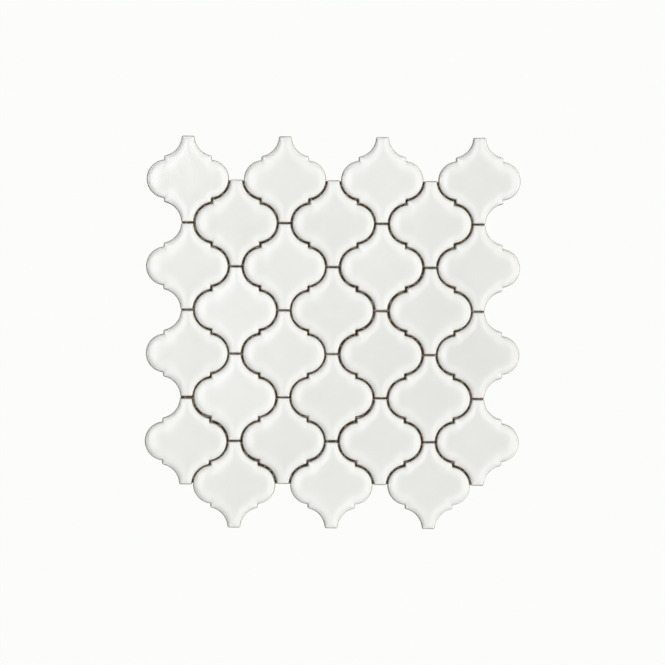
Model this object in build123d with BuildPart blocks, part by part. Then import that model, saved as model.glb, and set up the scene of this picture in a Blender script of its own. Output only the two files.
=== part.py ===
"""Lantern mosaic sheet: glazed tiles in staggered columns, glued to a glass-fibre net."""

import os
from math import acos, asin, degrees, sqrt

from build123d import *

# Sheet, in millimetres
COLUMNS = 7
TILES_PER_COLUMN = 4
FLANK_JOINT = 0.7
END_JOINT = 0.4

# Tile
TILE_WIDTH = 54.9
TILE_THICKNESS = 5.6
LOBE_RADIUS = 12.95
NECK_WIDTH = 8.5
STEP_HEIGHT = 2.68
CROWN_RISE = 0.5
DRAFT_WIDTH = 0.6
DRAFT_HEIGHT = 4.6
EDGE_BEVEL = 0.4

# Net
STRAND_WIDTH = 0.9
STRAND_THICKNESS = 0.2
STRAND_PITCH = 6.0
NET_COVER = 3.0

# How far hand-set tiles sit off the lattice, by column and row counted from one
STRAYS = {
    (1, 3): (0.3, 0),
    (1, 4): (0, -0.5),
    (3, 4): (0.1, 0.3),
    (4, 2): (-0.3, 0),
    (4, 3): (-0.1, 0.3),
    (6, 2): (0.3, -0.1),
}

# Columns: a lobe's tip lies beside the necks of the next column, a joint away
column_pitch = TILE_WIDTH / 2 + FLANK_JOINT + NECK_WIDTH / 2

# Tile outline: each hollow flank is struck from the lobe centre of the next column
lobe_x = TILE_WIDTH / 2 - LOBE_RADIUS
step_x = (column_pitch - FLANK_JOINT) / 2
hollow_x = column_pitch - lobe_x
hollow_radius = LOBE_RADIUS + FLANK_JOINT
lobe_top = sqrt(LOBE_RADIUS**2 - (step_x - lobe_x) ** 2)
flank_depth = sqrt(hollow_radius**2 - (hollow_x - step_x) ** 2)
half_pitch = lobe_top + STEP_HEIGHT + flank_depth
half_height = half_pitch - END_JOINT / 2
lobe_sweep = degrees(acos((step_x - lobe_x) / LOBE_RADIUS))
flank_start = degrees(acos((hollow_x - step_x) / hollow_radius))
flank_end = degrees(asin(END_JOINT / 2 / hollow_radius))

# Crown of the glazed face
crown_radius = (half_height**2 + CROWN_RISE**2) / (2 * CROWN_RISE)

# Sheet lattice: odd columns sit half a pitch above even ones
row_pitch = 2 * half_pitch
first_x = -column_pitch * (COLUMNS - 1) / 2
top_y = (row_pitch * (TILES_PER_COLUMN - 1) + half_pitch) / 2
back_z = 2 * STRAND_THICKNESS

# Net, hidden behind the tiles
net_width = 2 * (-first_x + hollow_x - hollow_radius - NET_COVER)
net_height = 2 * (top_y - half_pitch + half_height - NET_COVER)


def strand_spacing(span):
    """Return how many strands cover a span and how far apart they lie."""
    count = round(span / STRAND_PITCH) + 1
    return count, (span - STRAND_WIDTH) / (count - 1)


warp_count, warp_spacing = strand_spacing(net_width)
weft_count, weft_spacing = strand_spacing(net_height)


def keep(part, name):
    """Label one node and write its file."""
    part.label = name
    export_step(part, f"parts/{name}.step")


os.makedirs("parts", exist_ok=True)

# Tile, standing on its back at the origin
with BuildPart() as tile:
    with BuildSketch():
        with BuildLine():
            lobe = CenterArc((lobe_x, 0), LOBE_RADIUS, 0, lobe_sweep)
            flank = CenterArc((hollow_x, half_pitch), hollow_radius, 180 + flank_start, flank_end - flank_start)
            Line(lobe @ 1, flank @ 0)
            Line(flank @ 1, (0, half_height))
            mirror(about=Plane.YZ)
            mirror(about=Plane.XZ)
        make_face()
    extrude(amount=TILE_THICKNESS)
    face = tile.faces().sort_by(Axis.Z)[-1]
    chamfer(face.edges(), DRAFT_WIDTH, DRAFT_HEIGHT, reference=face)
    chamfer(tile.faces().sort_by(Axis.Z)[-1].edges(), EDGE_BEVEL)
    with Locations((0, 0, TILE_THICKNESS - crown_radius)):
        Sphere(crown_radius, mode=Mode.INTERSECT)

# Tiles of the sheet
for column in range(COLUMNS):
    for row in range(TILES_PER_COLUMN):
        stray_x, stray_y = STRAYS.get((column + 1, row + 1), (0, 0))
        tile_x = first_x + column * column_pitch + stray_x
        tile_y = top_y - row * row_pitch - column % 2 * half_pitch + stray_y
        with BuildPart() as placed:
            with Locations((tile_x, tile_y, back_z)):
                add(tile.part)
        keep(placed.part, f"tile_c{column + 1}_r{row + 1}")

# Net: strands across lie on the floor, strands down lie on them
with BuildPart() as net_weft:
    with GridLocations(0, weft_spacing, 1, weft_count):
        Box(net_width, STRAND_WIDTH, STRAND_THICKNESS, align=(Align.CENTER, Align.CENTER, Align.MIN))
keep(net_weft.part, "net_weft")

with BuildPart() as net_warp:
    with Locations((0, 0, STRAND_THICKNESS)):
        with GridLocations(warp_spacing, 0, warp_count, 1):
            Box(STRAND_WIDTH, net_height, STRAND_THICKNESS, align=(Align.CENTER, Align.CENTER, Align.MIN))
keep(net_warp.part, "net_warp")
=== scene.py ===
"""Lantern mosaic sheet: cushioned white glazed tiles on a glass-fibre net, seen from straight above."""

import logging
import math
import random
from collections.abc import Callable
from dataclasses import dataclass
from enum import Enum

import bpy
from mathutils import Matrix, Vector


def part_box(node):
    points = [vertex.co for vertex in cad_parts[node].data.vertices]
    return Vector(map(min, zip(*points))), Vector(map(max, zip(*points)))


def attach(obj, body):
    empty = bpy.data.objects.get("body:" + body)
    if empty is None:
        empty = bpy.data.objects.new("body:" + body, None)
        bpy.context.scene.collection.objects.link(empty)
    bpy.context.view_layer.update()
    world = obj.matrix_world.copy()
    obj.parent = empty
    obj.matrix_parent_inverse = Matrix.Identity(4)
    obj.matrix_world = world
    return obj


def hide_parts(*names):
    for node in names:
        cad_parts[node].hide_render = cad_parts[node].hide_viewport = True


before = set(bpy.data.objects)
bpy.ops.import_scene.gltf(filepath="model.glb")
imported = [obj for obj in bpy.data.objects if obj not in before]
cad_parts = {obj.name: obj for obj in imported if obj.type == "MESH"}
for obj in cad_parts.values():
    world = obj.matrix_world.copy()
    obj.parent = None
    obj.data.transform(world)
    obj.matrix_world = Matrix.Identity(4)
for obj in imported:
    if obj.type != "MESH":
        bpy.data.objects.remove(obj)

log = logging.getLogger("mosaic")

# Lengths are in metres, and points nearer than this count as one
MM = 0.001
NEAR = 0.01 * MM

# How far a face's normal points up or down where the face is about level, and where it is flat
LEVEL = 0.9
FLAT = 0.99

BODY = "root"
FIRING = "firing"
SEED = 7
Colour = tuple[float, float, float]
Sockets = dict[str | int, object]


class Slot(Enum):
    """The record's material slots."""

    TILE = "glazed_tile"
    NET = "net"


class Run(Enum):
    """Which way a yarn of the net runs, as the axis along it and the axis across it."""

    ACROSS = ("x", "y")
    DOWN = ("y", "x")


def deselect_all() -> None:
    """Leave nothing selected, so that the next operator touches only what it makes."""
    bpy.ops.object.select_all(action="DESELECT")


def in_object_mode() -> None:
    """Go back to object mode."""
    bpy.ops.object.mode_set(mode="OBJECT")


def in_edit_mode(kind: str) -> None:
    """Go to edit mode, selecting by VERT, EDGE or FACE."""
    bpy.ops.object.mode_set(mode="EDIT")
    bpy.ops.mesh.select_mode(type=kind)


def pick_vertices(piece: bpy.types.Object, wanted: Callable[[Vector], bool]) -> None:
    """Select the vertices of a piece in edit mode by their place.

    Args:
        piece: the mesh object being edited.
        wanted: tells whether a vertex at a place is selected.
    """
    bpy.ops.mesh.select_all(action="DESELECT")
    in_object_mode()
    for vertex in piece.data.vertices:
        vertex.select = wanted(vertex.co)
    in_edit_mode("VERT")


def pick_faces(piece: bpy.types.Object, wanted: Callable[[Vector, Vector], bool]) -> None:
    """Select the faces of a piece in edit mode by their middle and normal.

    Args:
        piece: the mesh object being edited.
        wanted: tells whether a face with that middle and normal is selected.
    """
    bpy.ops.mesh.select_all(action="DESELECT")
    in_object_mode()
    for face in piece.data.polygons:
        face.select = wanted(face.center, face.normal)
    in_edit_mode("FACE")


def apply_modifier(piece: bpy.types.Object, kind: str, **settings: object) -> None:
    """Add a modifier to the active piece and apply it.

    Args:
        piece: the active mesh object, in object mode.
        kind: the modifier's type.
        settings: the modifier's properties.
    """
    modifier = piece.modifiers.new(kind.lower(), kind)
    for name, value in settings.items():
        setattr(modifier, name, value)
    bpy.ops.object.modifier_apply(modifier=modifier.name)


def add_node(
    tree: bpy.types.NodeTree, kind: str, inputs: Sockets | None = None, **settings: object
) -> bpy.types.Node:
    """Add a node to a tree.

    Args:
        tree: the node tree.
        kind: the node's type name.
        inputs: a value or another node's output for input sockets, by their name or number.
        settings: the node's own properties.

    Returns:
        The new node.
    """
    node = tree.nodes.new(kind)
    for name, value in settings.items():
        setattr(node, name, value)
    for name, value in (inputs or {}).items():
        socket = node.inputs[name]
        if isinstance(value, bpy.types.NodeSocket):
            tree.links.new(value, socket)
        else:
            socket.default_value = value
    return node


def opaque(colour: Colour) -> tuple[float, float, float, float]:
    """Return a colour with full alpha."""
    return (*colour, 1.0)


def mottle_group() -> bpy.types.NodeTree:
    """Return the shader group that varies a finish over the surface, making it on first use.

    Returns:
        A group with a Vector, a Scale and a Detail in, and a Mask from 0 to 1 out.
    """
    name = "mottle"
    lowest, highest = 0.3, 0.7
    if name in bpy.data.node_groups:
        return bpy.data.node_groups[name]
    group = bpy.data.node_groups.new(name, "ShaderNodeTree")
    group.interface.new_socket("Vector", in_out="INPUT", socket_type="NodeSocketVector")
    group.interface.new_socket("Scale", in_out="INPUT", socket_type="NodeSocketFloat")
    group.interface.new_socket("Detail", in_out="INPUT", socket_type="NodeSocketFloat")
    group.interface.new_socket("Mask", in_out="OUTPUT", socket_type="NodeSocketFloat")
    entry = group.nodes.new("NodeGroupInput")
    noise = add_node(group, "ShaderNodeTexNoise", {
        "Vector": entry.outputs["Vector"],
        "Scale": entry.outputs["Scale"],
        "Detail": entry.outputs["Detail"]})
    spread = add_node(group, "ShaderNodeMapRange", {
        "Value": noise.outputs["Fac"],
        "From Min": lowest,
        "From Max": highest}, interpolation_type="SMOOTHSTEP")
    leave = group.nodes.new("NodeGroupOutput")
    group.links.new(spread.outputs["Result"], leave.inputs["Mask"])
    return group


def mottle(
    tree: bpy.types.NodeTree, vector: bpy.types.NodeSocket, scale: float, detail: float
) -> bpy.types.NodeSocket:
    """Place the mottle group in a tree.

    Args:
        tree: the material's node tree.
        vector: the coordinates that the pattern reads.
        scale: patches in a metre.
        detail: how many finer layers the patches have.

    Returns:
        The mask's socket.
    """
    group = add_node(tree, "ShaderNodeGroup", node_tree=mottle_group())
    tree.links.new(vector, group.inputs["Vector"])
    group.inputs["Scale"].default_value = scale
    group.inputs["Detail"].default_value = detail
    return group.outputs["Mask"]


def blend_colours(
    tree: bpy.types.NodeTree, mask: bpy.types.NodeSocket,
    low: Colour | bpy.types.NodeSocket, high: Colour | bpy.types.NodeSocket
) -> bpy.types.NodeSocket:
    """Mix two colours by a mask.

    Args:
        tree: the material's node tree.
        mask: 0 for the low colour, 1 for the high one.
        low: a colour or a socket.
        high: a colour or a socket.

    Returns:
        The mixed colour's socket.
    """
    node = add_node(tree, "ShaderNodeMix", data_type="RGBA")
    tree.links.new(mask, node.inputs["Factor"])
    for socket, value in ((node.inputs[6], low), (node.inputs[7], high)):
        if isinstance(value, bpy.types.NodeSocket):
            tree.links.new(value, socket)
        else:
            socket.default_value = opaque(value)
    return node.outputs[2]


def blend_values(
    tree: bpy.types.NodeTree, mask: bpy.types.NodeSocket, low: float, high: float
) -> bpy.types.NodeSocket:
    """Map a mask from 0 to 1 to a range of values and return its socket."""
    node = add_node(tree, "ShaderNodeMapRange", {"Value": mask, "To Min": low, "To Max": high})
    return node.outputs["Result"]


def new_material(name: str) -> bpy.types.Material:
    """Make a material with a Principled shader.

    Args:
        name: the material's name.

    Returns:
        The material.
    """
    material = bpy.data.materials.new(name)
    material.use_nodes = True
    return material


def object_place(tree: bpy.types.NodeTree) -> bpy.types.NodeSocket:
    """Return the socket of the object's own coordinates in a tree."""
    return add_node(tree, "ShaderNodeTexCoord").outputs["Object"]


@dataclass(frozen=True)
class GlazedBody:
    """White glaze, glossy on the face and a dry skin on the sides, with bare fired body below its line."""

    glaze: Colour = (0.825, 0.83, 0.79)
    glaze_shade: Colour = (0.785, 0.79, 0.745)
    body: Colour = (0.54, 0.45, 0.34)
    body_shade: Colour = (0.45, 0.365, 0.265)
    glaze_line: float = 3.4 * MM
    line_wander: float = 0.5 * MM
    dry_line: float = 4.45 * MM
    gloss_line: float = 4.75 * MM
    refraction: float = 1.6
    gloss: float = 0.13
    gloss_specular: float = 0.5
    dry_roughness: float = 0.7
    dry_specular: float = 0.1
    line_softness: float = 0.1 * MM
    line_scale: float = 160
    cloud: float = 0.2
    cloud_scale: float = 60
    grain_scale: float = 900
    ripple: float = 0.05 * MM
    ripple_scale: float = 70

    def material(self) -> bpy.types.Material:
        """Make the material, with the glaze line read from height above the floor.

        Returns:
            The material.
        """
        material = new_material("glazed_tile")
        tree = material.node_tree
        shader = tree.nodes["Principled BSDF"]
        place = object_place(tree)
        height = add_node(tree, "ShaderNodeSeparateXYZ", {0: place}).outputs["Z"]
        wander = mottle(tree, place, self.line_scale, 2)
        lowest, highest = self.glaze_line - self.line_wander, self.glaze_line + self.line_wander
        line = blend_values(tree, wander, lowest, highest)
        above = add_node(tree, "ShaderNodeMath", {0: height, 1: line}, operation="SUBTRACT").outputs[0]
        glazed = add_node(tree, "ShaderNodeMapRange", {
            "Value": above,
            "From Min": -self.line_softness,
            "From Max": self.line_softness}).outputs["Result"]
        firing = add_node(tree, "ShaderNodeAttribute", attribute_name=FIRING).outputs["Fac"]
        cloud = blend_values(tree, mottle(tree, place, self.cloud_scale, 1), -self.cloud, self.cloud)
        kiln = add_node(tree, "ShaderNodeMath", {0: firing, 1: cloud}, use_clamp=True).outputs[0]
        glaze = blend_colours(tree, kiln, self.glaze_shade, self.glaze)
        grain = mottle(tree, place, self.grain_scale, 4)
        body = blend_colours(tree, grain, self.body_shade, self.body)
        tree.links.new(blend_colours(tree, glazed, body, glaze), shader.inputs["Base Color"])
        thick = add_node(tree, "ShaderNodeMapRange", {
            "Value": height, "From Min": self.dry_line, "From Max": self.gloss_line}).outputs["Result"]
        tree.links.new(blend_values(tree, thick, self.dry_roughness, self.gloss), shader.inputs["Roughness"])
        wave = mottle(tree, place, self.ripple_scale, 1)
        bump = add_node(tree, "ShaderNodeBump", {"Height": wave, "Strength": 1.0, "Distance": self.ripple})
        tree.links.new(bump.outputs["Normal"], shader.inputs["Normal"])
        specular = blend_values(tree, thick, self.dry_specular, self.gloss_specular)
        tree.links.new(specular, shader.inputs["Specular IOR Level"])
        shader.inputs["IOR"].default_value = self.refraction
        return material


@dataclass(frozen=True)
class GlassYarn:
    """Coated glass-fibre yarn, off-white with fine filaments along it, and painted shade in the hollows
    between them.
    """

    yarn: Colour = (0.62, 0.59, 0.53)
    # Darker in the hollows between filaments: painted shade, over the streaky tone of the fibres
    hollow: Colour = (0.42, 0.38, 0.32)
    filaments: float = 5200
    stretch: float = 0.02
    roughness: float = 0.55
    hollow_roughness: float = 0.7
    relief: float = 0.04 * MM
    relief_strength: float = 0.6

    def material(self, run: Run) -> bpy.types.Material:
        """Make the material for yarns that run one way.

        Args:
            run: which way the filaments lie.

        Returns:
            The material.
        """
        material = new_material(f"glass_yarn_{run.name.lower()}")
        tree = material.node_tree
        shader = tree.nodes["Principled BSDF"]
        place = object_place(tree)
        stretch = (self.stretch, 1, 1) if run is Run.ACROSS else (1, self.stretch, 1)
        lengthwise = add_node(tree, "ShaderNodeMapping", {"Vector": place, "Scale": stretch})
        fibre = mottle(tree, lengthwise.outputs["Vector"], self.filaments, 2)
        # The low parts of the fibre pattern take the darker hollow colour as painted shade
        tree.links.new(blend_colours(tree, fibre, self.hollow, self.yarn), shader.inputs["Base Color"])
        roughness = blend_values(tree, fibre, self.hollow_roughness, self.roughness)
        tree.links.new(roughness, shader.inputs["Roughness"])
        bump = add_node(tree, "ShaderNodeBump", {
            "Height": fibre, "Strength": self.relief_strength, "Distance": self.relief})
        tree.links.new(bump.outputs["Normal"], shader.inputs["Normal"])
        return material


@dataclass(frozen=True)
class Arc:
    """A stretch of a tile's outline about a centre, in the quarter where x and y are positive."""

    centre: Vector
    radius: float
    start: float
    end: float

    def point(self, angle: float) -> Vector:
        """Return the point at an angle about the centre."""
        return self.centre + self.radius * Vector((math.cos(angle), math.sin(angle)))

    def distance(self, place: Vector) -> float:
        """Measure how far a place lies from the stretch.

        Args:
            place: a point of the plane.

        Returns:
            The distance.
        """
        offset = place - self.centre
        low, high = sorted((self.start, self.end))
        if low <= math.atan2(offset.y, offset.x) <= high:
            return abs(offset.length - self.radius)
        return min((place - self.point(self.start)).length, (place - self.point(self.end)).length)


@dataclass(frozen=True)
class Side:
    """A straight stretch of a tile's outline."""

    start: Vector
    end: Vector

    def distance(self, place: Vector) -> float:
        """Measure how far a place lies from the stretch.

        Args:
            place: a point of the plane.

        Returns:
            The distance.
        """
        along = self.end - self.start
        share = (place - self.start).dot(along) / along.length_squared
        return (place - self.start - min(1, max(0, share)) * along).length


@dataclass
class LanternTile:
    """One lantern tile: lobes at the sides, necks at the ends, a cushioned glazed face and a plain back."""

    width: float
    height: float
    thickness: float
    lobe_radius: float = 12.95 * MM
    neck_width: float = 8.5 * MM
    flank_joint: float = 0.7 * MM
    end_joint: float = 0.4 * MM
    corner_radius: float = 1.0 * MM
    notch_radius: float = 0.3 * MM
    land: float = 1.0 * MM
    draft_width: float = 0.6 * MM
    rim_width: float = 0.35 * MM
    rim_drop: float = 0.4 * MM
    cushion_width: float = 10.5 * MM
    cushion_drop: float = 1.0 * MM
    cushion_power: float = 3.5
    shoulder_width: float = 2.4 * MM
    shoulder_drop: float = 0.12 * MM
    back_bevel: float = 0.4 * MM
    back_margin: float = 0.2 * MM
    back_steps: int = 2
    cell: float = 1.2 * MM
    arc_steps: int = 16
    corner_steps: int = 5
    rim_steps: int = 5
    smooth_angle: float = math.radians(40)
    tilt: float = math.radians(0.12)

    def __post_init__(self) -> None:
        """Work out the outline's stretches in its quarter where x and y are positive."""
        pitch = self.width / 2 + self.flank_joint + self.neck_width / 2
        half_pitch = (self.height + self.end_joint) / 2
        lobe_x = self.width / 2 - self.lobe_radius
        step_x = (pitch - self.flank_joint) / 2
        hollow = Vector((pitch - lobe_x, half_pitch))
        hollow_radius = self.lobe_radius + self.flank_joint
        self.lobe = Arc(
            Vector((lobe_x, 0)), self.lobe_radius,
            0, math.acos((step_x - lobe_x) / self.lobe_radius))
        self.flank = Arc(
            hollow, hollow_radius,
            math.acos((hollow.x - step_x) / hollow_radius) - math.pi,
            math.asin(self.end_joint / 2 / hollow_radius) - math.pi)
        self.step = Side(self.lobe.point(self.lobe.end), self.flank.point(self.flank.start))
        self.neck_end = Side(self.flank.point(self.flank.end), Vector((0, self.height / 2)))

    def edge_distance(self, place: Vector) -> float:
        """Return a place's distance to the outline, rounded off where two stretches are equally near.

        Args:
            place: a point inside the outline.

        Returns:
            The softened distance.
        """
        sharpness = 4
        total = 0.0
        for mirror_x in (1, -1):
            for mirror_y in (1, -1):
                mirrored = Vector((mirror_x * place.x, mirror_y * place.y))
                for stretch in (self.lobe, self.step, self.flank, self.neck_end):
                    total += stretch.distance(mirrored) ** -sharpness
        return total ** (-1 / sharpness)

    def sink(self, edge_distance: float) -> float:
        """Return how far the face lies below its middle at a distance from its edge.

        Args:
            edge_distance: distance to the top of the drafted sides.

        Returns:
            The drop of the cushion, and of its shoulder and the rounded rim close to the edge.
        """
        cushion = max(0, 1 - edge_distance / self.cushion_width) ** self.cushion_power
        shoulder = max(0, 1 - edge_distance / self.shoulder_width) ** 2
        rim = 1 - math.sqrt(1 - max(0, 1 - edge_distance / self.rim_width) ** 2)
        return self.cushion_drop * cushion + self.shoulder_drop * shoulder + self.rim_drop * rim

    def build(self) -> bpy.types.Object:
        """Model the tile with its back's middle at the origin.

        Returns:
            The tile's object.
        """
        tile = self.trace_outline()
        self.raise_body(tile)
        self.round_rim(tile)
        self.cushion_face(tile)
        self.ease_back(tile)
        return tile

    def trace_outline(self) -> bpy.types.Object:
        """Spin and extrude a quarter of the outline from one vertex, then mirror it and round its corners.

        Returns:
            An object that holds the closed outline.
        """
        deselect_all()
        bpy.ops.mesh.primitive_plane_add(size=self.corner_radius)
        tile = bpy.context.active_object
        in_edit_mode("VERT")
        bpy.ops.mesh.merge(type="CENTER")
        bpy.ops.transform.translate(value=(self.width / 2, 0, 0))
        self.spin(self.lobe)
        self.draw(self.step)
        self.spin(self.flank)
        self.draw(self.neck_end)
        in_object_mode()
        apply_modifier(tile, "MIRROR", use_axis=(True, True, False), merge_threshold=NEAR)
        self.round_corners(tile, self.step.start, self.notch_radius)
        self.round_corners(tile, self.step.end, self.corner_radius)
        self.round_corners(tile, self.neck_end.start, self.corner_radius)
        return tile

    def round_corners(self, tile: bpy.types.Object, corner: Vector, radius: float) -> None:
        """Round a corner of the outline in all four quarters.

        Args:
            tile: the object that holds the outline.
            corner: the corner's place in the quarter where x and y are positive.
            radius: how far the round reaches along each side.
        """
        in_edit_mode("VERT")
        pick_vertices(tile, lambda co: (Vector((abs(co.x), abs(co.y))) - corner).length < NEAR)
        bpy.ops.mesh.bevel(offset=radius, segments=self.corner_steps, affect="VERTICES")
        in_object_mode()

    def spin(self, arc: Arc) -> None:
        """Sweep the selected vertex along an arc."""
        bpy.ops.mesh.spin(
            steps=self.arc_steps, angle=arc.start - arc.end, center=(*arc.centre, 0), axis=(0, 0, 1))

    def draw(self, side: Side) -> None:
        """Draw a straight stretch from the selected vertex."""
        bpy.ops.mesh.extrude_region_move(TRANSFORM_OT_translate={"value": (*(side.end - side.start), 0)})

    def raise_body(self, tile: bpy.types.Object) -> None:
        """Fill the outline, raise it by the upright land and draw it in along the drafted sides.

        Args:
            tile: the tile's object.
        """
        in_edit_mode("VERT")
        bpy.ops.mesh.select_all(action="SELECT")
        bpy.ops.mesh.edge_face_add()
        bpy.ops.mesh.extrude_region_move(TRANSFORM_OT_translate={"value": (0, 0, self.land)})
        bpy.ops.mesh.select_all(action="SELECT")
        bpy.ops.mesh.normals_make_consistent(inside=False)
        pick_faces(tile, lambda middle, normal: normal.z > LEVEL)
        rise = self.thickness - self.sink(0) - self.land
        bpy.ops.mesh.inset(thickness=self.draft_width, depth=rise, use_even_offset=True)
        in_object_mode()

    def round_rim(self, tile: bpy.types.Object) -> None:
        """Inset the top in narrow rings that rise as the rim's round does.

        Args:
            tile: the tile's object.
        """
        in_edit_mode("FACE")
        pick_faces(tile, lambda middle, normal: normal.z > LEVEL)
        edge_distance, sink = 0.0, self.sink(0)
        for step in range(1, self.rim_steps + 1):
            nearer = self.rim_width * (1 - math.cos(step / self.rim_steps * math.pi / 2))
            rise = sink - self.sink(nearer)
            bpy.ops.mesh.inset(thickness=nearer - edge_distance, depth=rise, use_even_offset=True)
            edge_distance, sink = nearer, self.sink(nearer)
        in_object_mode()

    def cushion_face(self, tile: bpy.types.Object) -> None:
        """Cut the face inside the rim into cells and sink each vertex by its distance to the edge.

        Args:
            tile: the tile's object.
        """
        foot = self.thickness - self.sink(self.rim_width)
        in_edit_mode("FACE")
        pick_faces(tile, lambda middle, normal: normal.z > LEVEL and middle.z > foot - NEAR)
        bpy.ops.mesh.hide(unselected=True)
        for reach, normal in ((self.width / 2, Vector((1, 0, 0))), (self.height / 2, Vector((0, 1, 0)))):
            cuts = round(reach / self.cell)
            for cut in range(1 - cuts, cuts):
                bpy.ops.mesh.select_all(action="SELECT")
                bpy.ops.mesh.bisect(plane_co=normal * (cut * reach / cuts), plane_no=normal)
        bpy.ops.mesh.reveal(select=False)
        in_object_mode()
        for vertex in tile.data.vertices:
            if vertex.co.z > foot - NEAR:
                distance = max(self.rim_width, self.edge_distance(vertex.co.xy) - self.draft_width)
                vertex.co.z = self.thickness - self.sink(distance)

    def ease_back(self, tile: bpy.types.Object) -> None:
        """Bevel the edge of the back, keep its middle flat and smooth the shading of the face.

        Args:
            tile: the tile's object.
        """
        in_edit_mode("FACE")
        pick_faces(tile, lambda middle, normal: normal.z < -LEVEL)
        bpy.ops.mesh.region_to_loop()
        bpy.ops.mesh.bevel(offset=self.back_bevel, segments=self.back_steps, affect="EDGES")
        pick_faces(tile, lambda middle, normal: normal.z < -FLAT)
        bpy.ops.mesh.inset(thickness=self.back_margin, use_even_offset=True)
        in_object_mode()
        bpy.ops.object.shade_smooth_by_angle(angle=self.smooth_angle)

    def place(self, master: bpy.types.Object, node: str, rng: random.Random) -> bpy.types.Object:
        """Copy the tile to where a tile of the frame lies.

        Args:
            master: the modelled tile.
            node: the frame's tile.
            rng: a seeded source for how level the tile was set and how pale it was fired.

        Returns:
            The copy, which replaces the frame's tile.
        """
        low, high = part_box(node)
        middle = (low + high) / 2
        seat = Matrix.Translation((middle.x, middle.y, low.z))
        about_x = Matrix.Rotation(rng.uniform(-self.tilt, self.tilt), 4, "X")
        about_y = Matrix.Rotation(rng.uniform(-self.tilt, self.tilt), 4, "Y")
        lean = about_x @ about_y
        mesh = master.data.copy()
        mesh.transform(seat @ lean)
        firing = mesh.attributes.new(FIRING, "FLOAT", "POINT")
        firing.data.foreach_set("value", [rng.random()] * len(mesh.vertices))
        copy = bpy.data.objects.new(f"glazed_{node}", mesh)
        bpy.context.scene.collection.objects.link(copy)
        return copy


@dataclass
class BackingNet:
    """The glass-fibre net: flat yarns across, and pairs of yarns down that pass over and under them."""

    low: Vector
    high: Vector
    strands: int = 34
    weft_width: float = 0.9 * MM
    warp_width: float = 0.42 * MM
    yarn_thickness: float = 0.13 * MM
    pair_gap: float = 0.46 * MM
    yarn_sides: int = 8
    cuts_per_cell: int = 4
    pinch: float = 0.14
    smooth_angle: float = math.radians(50)

    def lay_yarn(self, run: Run, width: float) -> bpy.types.Object:
        """Model one straight yarn through the middle of the net, cut into short lengths.

        Args:
            run: which way it runs.
            width: its width.

        Returns:
            The yarn's object.
        """
        length = self.span(run)
        deselect_all()
        turn = (0, math.pi / 2, 0) if run is Run.ACROSS else (math.pi / 2, 0, 0)
        bpy.ops.mesh.primitive_cylinder_add(vertices=self.yarn_sides, radius=0.5, depth=length, rotation=turn)
        yarn = bpy.context.active_object
        bpy.ops.object.transform_apply(location=True, rotation=True, scale=True)
        in_edit_mode("VERT")
        bpy.ops.mesh.select_all(action="SELECT")
        flat = (1, width, self.yarn_thickness) if run is Run.ACROSS else (width, 1, self.yarn_thickness)
        bpy.ops.transform.resize(value=flat)
        normal = Vector((1, 0, 0)) if run is Run.ACROSS else Vector((0, 1, 0))
        cuts = (self.strands - 1) * self.cuts_per_cell
        for cut in range(1, cuts):
            bpy.ops.mesh.select_all(action="SELECT")
            bpy.ops.mesh.bisect(plane_co=normal * (length * (cut / cuts - 0.5)), plane_no=normal)
        in_object_mode()
        return yarn

    def span(self, run: Run) -> float:
        """Return the net's length along a run."""
        return getattr(self.high, run.value[0]) - getattr(self.low, run.value[0])

    def spacing(self, run: Run) -> float:
        """Return how far apart the yarns of a run lie."""
        across = getattr(self.high, run.value[1]) - getattr(self.low, run.value[1])
        return (across - self.weft_width) / (self.strands - 1)

    def crossings(self, run: Run, along: float) -> float:
        """Return a place along a yarn as a count of crossings from the first one."""
        return (along + self.span(run) / 2 - self.weft_width / 2) / self.spacing(self.other(run))

    @staticmethod
    def other(run: Run) -> Run:
        """Return the run that crosses this one."""
        return Run.DOWN if run is Run.ACROSS else Run.ACROSS

    def repeat(self, yarn: bpy.types.Object, run: Run) -> None:
        """Lay copies of a yarn side by side over the whole net.

        Args:
            yarn: the yarn in the net's middle.
            run: which way it runs.
        """
        step = self.spacing(run)
        offset = (0, step, 0) if run is Run.ACROSS else (step, 0, 0)
        first = -Vector(offset) * (self.strands - 1) / 2
        yarn.data.transform(Matrix.Translation(first))
        bpy.context.view_layer.objects.active = yarn
        apply_modifier(
            yarn, "ARRAY", count=self.strands, use_relative_offset=False, use_constant_offset=True,
            constant_offset_displace=offset)
        bpy.ops.object.shade_smooth_by_angle(angle=self.smooth_angle)

    def build_weft(self) -> bpy.types.Object:
        """Model the yarns across, pinched a little where the pairs hold them.

        Returns:
            The object that holds all of them.
        """
        yarn = self.lay_yarn(Run.ACROSS, self.weft_width)
        middle = (self.low.z + self.high.z) / 2
        for vertex in yarn.data.vertices:
            held = math.cos(2 * math.pi * self.crossings(Run.ACROSS, vertex.co.x))
            vertex.co.y *= 1 - self.pinch * (1 + held) / 2
            vertex.co.z += middle
        self.repeat(yarn, Run.ACROSS)
        return yarn

    def build_warp(self) -> bpy.types.Object:
        """Model the pairs of yarns down, one passing over where the other passes under.

        Returns:
            The object that holds all of them.
        """
        pair = []
        middle = (self.low.z + self.high.z) / 2
        swing = (self.high.z - self.low.z) / 2 - self.yarn_thickness / 2
        for side in (1, -1):
            yarn = self.lay_yarn(Run.DOWN, self.warp_width)
            for vertex in yarn.data.vertices:
                wave = math.cos(math.pi * self.crossings(Run.DOWN, vertex.co.y))
                vertex.co.z += middle + side * swing * wave
                vertex.co.x += side * self.pair_gap / 2
            pair.append(yarn)
        deselect_all()
        for yarn in pair:
            yarn.select_set(True)
        bpy.context.view_layer.objects.active = pair[0]
        bpy.ops.object.join()
        self.repeat(pair[0], Run.DOWN)
        return pair[0]


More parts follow.
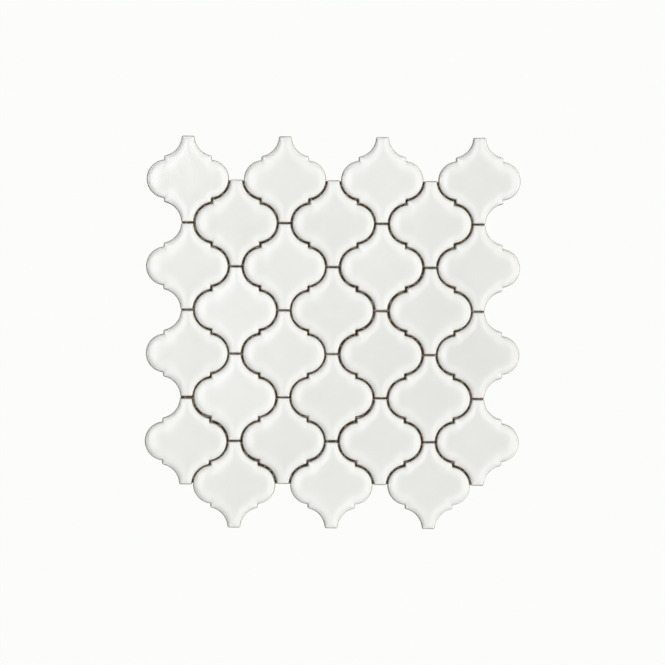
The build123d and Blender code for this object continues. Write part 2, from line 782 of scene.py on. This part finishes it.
@dataclass(frozen=True)
class Glow:
    """A round part of the room, brighter or darker than the rest, with its core and edge in degrees."""

    toward: tuple[float, float, float]
    core: float
    edge: float
    radiance: float

    def shine(self, tree: bpy.types.NodeTree, direction: bpy.types.NodeSocket) -> bpy.types.NodeSocket:
        """Add the glow to the room's nodes.

        Args:
            tree: the world's node tree.
            direction: the direction that is looked in.

        Returns:
            The socket of its brightness in that direction.
        """
        toward = Vector(self.toward).normalized()
        facing = add_node(tree, "ShaderNodeVectorMath", {0: direction, 1: toward}, operation="DOT_PRODUCT")
        fade = add_node(tree, "ShaderNodeMapRange", {
            "Value": facing.outputs["Value"],
            "From Min": math.cos(math.radians(self.edge)),
            "From Max": math.cos(math.radians(self.core)),
            "To Max": self.radiance}, interpolation_type="SMOOTHSTEP")
        return fade.outputs["Result"]


@dataclass(frozen=True)
class Softbox:
    """A round soft lamp near the sheet, so that its light falls off across it."""

    place: tuple[float, float, float] = (-0.12, 0.08, 0.46)
    size: float = 0.4
    colour: Colour = (0.84, 0.81, 1.0)
    power: float = 0.15

    def hang(self) -> None:
        """Hang the lamp, turned to the sheet's middle."""
        data = bpy.data.lights.new("softbox", "AREA")
        data.shape = "DISK"
        data.size = self.size
        data.energy = self.power
        data.color = self.colour
        lamp = bpy.data.objects.new("softbox", data)
        lamp.location = self.place
        lamp.rotation_euler = Vector(self.place).to_track_quat("Z", "Y").to_euler()
        lamp.visible_camera = False
        bpy.context.scene.collection.objects.link(lamp)


@dataclass
class Studio:
    """A white floor, a room with soft bright parts and a camera straight above."""

    view_height: float = 2.4
    view_width: float = 442.6 * MM
    view_roll: float = math.radians(-0.43)
    view_limit: float = 20.0
    sensor: float = 36.0
    sheet_top: float = 6 * MM
    floor_size: float = 8.0
    floor_white: Colour = (0.3, 0.3, 0.3)
    # Dark brown under the sheet: painted shade for the deep joints between the tiles
    painted_joint_shade: Colour = (0.1, 0.073, 0.05)
    floor_glow: Colour = (0.989, 1.0, 0.98)
    floor_roughness: float = 0.9
    shadowless: float = 0.975
    hidden_half: float = 101 * MM
    fill: float = 0.03
    softbox: Softbox = Softbox()
    # Key at the right, ceiling, dark lens overhead, panel at the left, then low lights on three sides
    glows: tuple[Glow, ...] = (
        Glow(toward=(0.9, -0.1, 0.42), core=12, edge=30, radiance=3.8),
        Glow(toward=(0.03, 0.02, 1), core=16, edge=38, radiance=2.42),
        Glow(toward=(0.06, -0.005, 1), core=4, edge=10.5, radiance=-1.7),
        Glow(toward=(-0.28, 0.07, 0.96), core=7, edge=15, radiance=2.0),
        Glow(toward=(0.98, -0.1, 0.12), core=6, edge=14, radiance=4.0),
        Glow(toward=(0.1, 0.98, 0.12), core=6, edge=14, radiance=5.0),
        Glow(toward=(0.1, -0.98, 0.12), core=6, edge=14, radiance=4.0),
    )

    def stand_camera(self) -> None:
        """Hang the camera over the sheet's middle, turned as the sheet is in the picture."""
        data = bpy.data.cameras.new("camera")
        data.sensor_width = self.sensor
        data.lens = self.sensor * (self.view_height - self.sheet_top) / self.view_width
        data.clip_end = self.view_limit
        camera = bpy.data.objects.new("camera", data)
        camera.location = (0, 0, self.view_height)
        camera.rotation_euler = (0, 0, -self.view_roll)
        bpy.context.scene.collection.objects.link(camera)
        bpy.context.scene.camera = camera

    def light(self) -> None:
        """Light the sheet: an even fill and the glows from the room, and the softbox near the sheet."""
        world = bpy.data.worlds.new("room")
        world.use_nodes = True
        bpy.context.scene.world = world
        tree = world.node_tree
        direction = add_node(tree, "ShaderNodeTexCoord").outputs["Generated"]
        lit = add_node(tree, "ShaderNodeValue").outputs[0]
        lit.default_value = self.fill
        for glow in self.glows:
            lit = add_node(tree, "ShaderNodeMath", {0: lit, 1: glow.shine(tree, direction)}).outputs[0]
        rays = add_node(tree, "ShaderNodeLightPath")
        shown = add_node(tree, "ShaderNodeMix", {
            "Factor": rays.outputs["Is Camera Ray"], "A": lit, "B": 1.0}, data_type="FLOAT")
        back = tree.nodes["Background"]
        back.inputs["Color"].default_value = opaque((1, 1, 1))
        tree.links.new(shown.outputs[0], back.inputs["Strength"])
        self.softbox.hang()

    def lay_floor(self) -> None:
        """Lay the floor: white with a faint shadow beside the sheet, and dark brown under the sheet as
        painted shade down in the joints.
        """
        deselect_all()
        bpy.ops.mesh.primitive_plane_add(size=self.floor_size)
        floor = bpy.context.active_object
        floor.name = "floor"
        material = new_material("floor")
        tree = material.node_tree
        shader = tree.nodes["Principled BSDF"]
        place = object_place(tree)
        shader.inputs["Roughness"].default_value = self.floor_roughness
        shader.inputs["Specular IOR Level"].default_value = 0.0
        sides = add_node(tree, "ShaderNodeVectorMath", {0: place}, operation="ABSOLUTE")
        split = add_node(tree, "ShaderNodeSeparateXYZ", {0: sides.outputs[0]})
        reach = add_node(tree, "ShaderNodeMath", {
            0: split.outputs["X"], 1: split.outputs["Y"]}, operation="MAXIMUM")
        beside = add_node(tree, "ShaderNodeMath", {
            0: reach.outputs[0], 1: self.hidden_half}, operation="GREATER_THAN")
        # Under the sheet the floor takes the dark brown painted shade that shows down in the joints
        paint = blend_colours(tree, beside.outputs[0], self.painted_joint_shade, self.floor_white)
        tree.links.new(paint, shader.inputs["Base Color"])
        rays = add_node(tree, "ShaderNodeLightPath")
        seen = add_node(tree, "ShaderNodeMath", {
            0: rays.outputs["Is Camera Ray"], 1: rays.outputs["Is Glossy Ray"]}, operation="MAXIMUM")
        through = add_node(tree, "ShaderNodeMath", {
            0: seen.outputs[0], 1: rays.outputs["Is Transmission Ray"]}, operation="MAXIMUM")
        shown = add_node(tree, "ShaderNodeMath", {
            0: through.outputs[0], 1: beside.outputs[0]}, operation="MULTIPLY")
        share = add_node(tree, "ShaderNodeMath", {
            0: shown.outputs[0], 1: self.shadowless}, operation="MULTIPLY")
        white = add_node(tree, "ShaderNodeEmission", {"Color": opaque(self.floor_glow), "Strength": 1.0})
        mixed = add_node(tree, "ShaderNodeMixShader", {
            0: share.outputs[0], 1: shader.outputs[0], 2: white.outputs[0]})
        tree.links.new(mixed.outputs[0], tree.nodes["Material Output"].inputs["Surface"])
        floor.data.materials.append(material)


def keep(piece: bpy.types.Object, node: str, material: bpy.types.Material) -> None:
    """Dress a finished piece and tie it to the frame.

    Args:
        piece: the piece.
        node: the part of the frame that it stands for.
        material: its finish.
    """
    piece.data.materials.clear()
    piece.data.materials.append(material)
    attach(piece, BODY)
    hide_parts(node)
    log.info("%s: %d faces", piece.name, len(piece.data.polygons))


def lay_tiles() -> None:
    """Model the tile once and set a copy at each tile of the frame."""
    nodes = sorted(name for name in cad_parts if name.startswith("tile"))
    low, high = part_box(nodes[0])
    tile = LanternTile(*(high - low))
    master = tile.build()
    glazed = GlazedBody().material()
    rng = random.Random(SEED)
    for node in nodes:
        keep(tile.place(master, node, rng), node, glazed)
    bpy.data.objects.remove(master)


def lay_net() -> None:
    """Model the net's two layers of yarn."""
    weft_low, weft_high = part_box("net_weft")
    warp_low, warp_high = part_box("net_warp")
    net = BackingNet(
        Vector((weft_low.x, warp_low.y, weft_low.z)),
        Vector((weft_high.x, warp_high.y, warp_high.z)))
    yarn = GlassYarn()
    weft = net.build_weft()
    weft.name = "yarns_across"
    keep(weft, "net_weft", yarn.material(Run.ACROSS))
    warp = net.build_warp()
    warp.name = "yarns_down"
    keep(warp, "net_warp", yarn.material(Run.DOWN))


def main() -> None:
    """Build the sheet and the studio."""
    logging.basicConfig(level=logging.INFO, format="%(name)s: %(message)s")
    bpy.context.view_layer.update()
    lay_tiles()
    lay_net()
    studio = Studio()
    studio.stand_camera()
    studio.light()
    studio.lay_floor()
    bpy.context.scene.view_settings.view_transform = "Standard"


if __name__ == "__main__":
    main()
